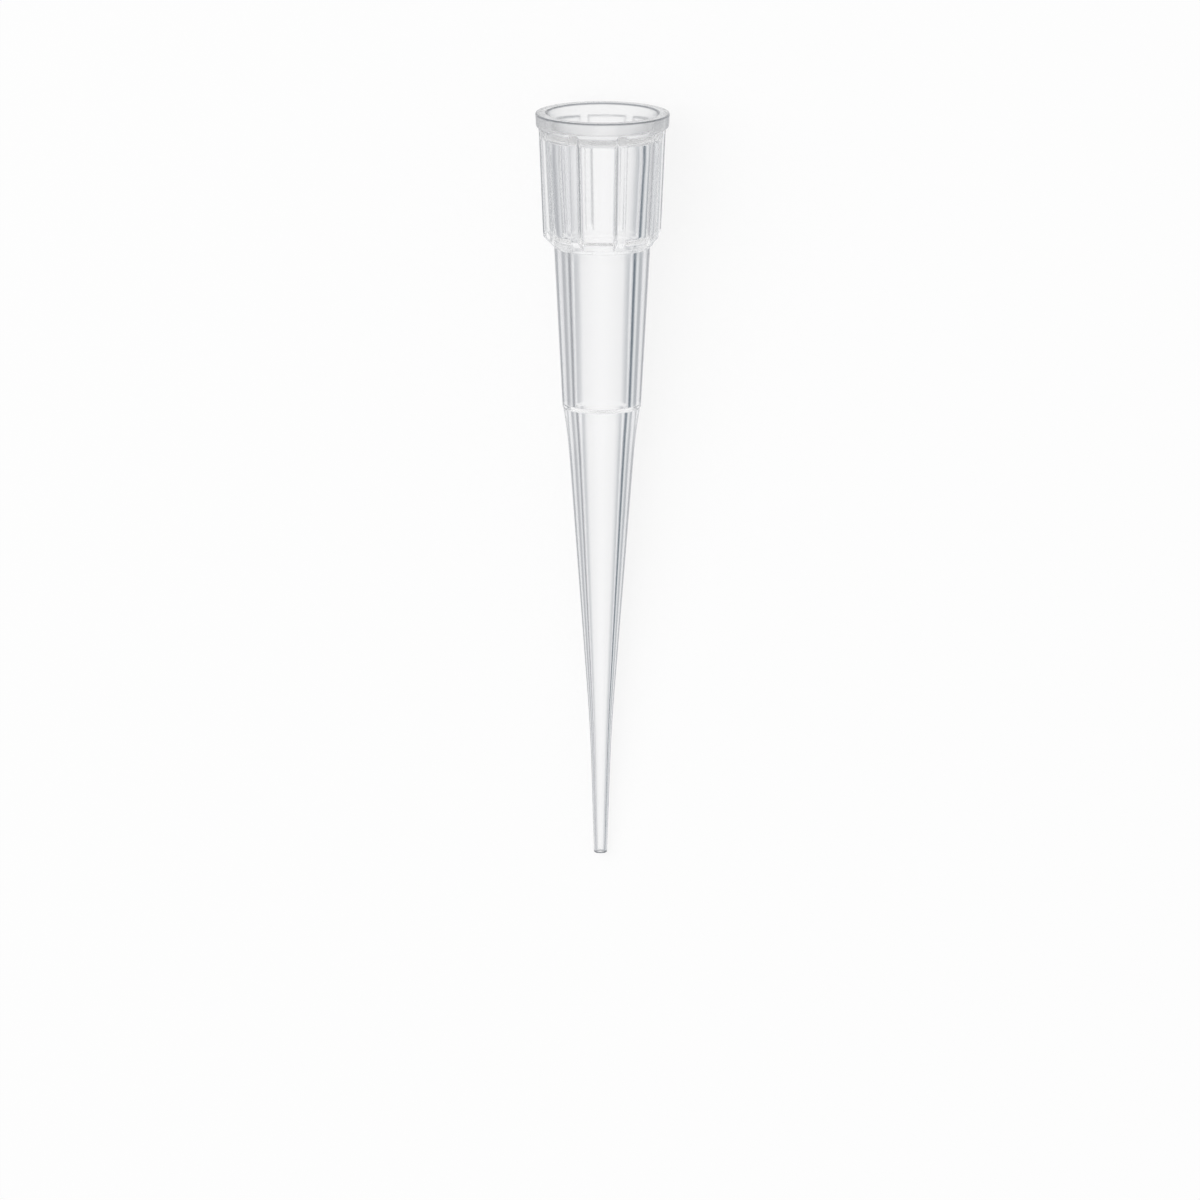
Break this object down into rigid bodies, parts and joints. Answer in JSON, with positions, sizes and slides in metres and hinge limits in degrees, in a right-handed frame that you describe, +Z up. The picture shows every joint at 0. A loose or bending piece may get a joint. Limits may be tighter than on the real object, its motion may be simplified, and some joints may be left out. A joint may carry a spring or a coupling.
{
  "type": "pipette tip",
  "caption": "Clear tapered pipette tip, lying on its side: a rim, a ribbed collar around the nozzle socket, and a fine open point.",
  "frame": {"origin": "bottom centre of the bounding box, on the surface that the tip lies on", "axes": "+Y along the tip as it lies, towards the mouth; the tip's own axis rises 4.6 degrees from +Y towards the mouth; +Z up"},
  "size_m": [0.0056, 0.0316, 0.0056],
  "materials": {
    "clear_polypropylene": "clear, glossy"
  },
  "bodies": {
    "root": {"tip": "clear_polypropylene"}
  },
  "joints": []
}
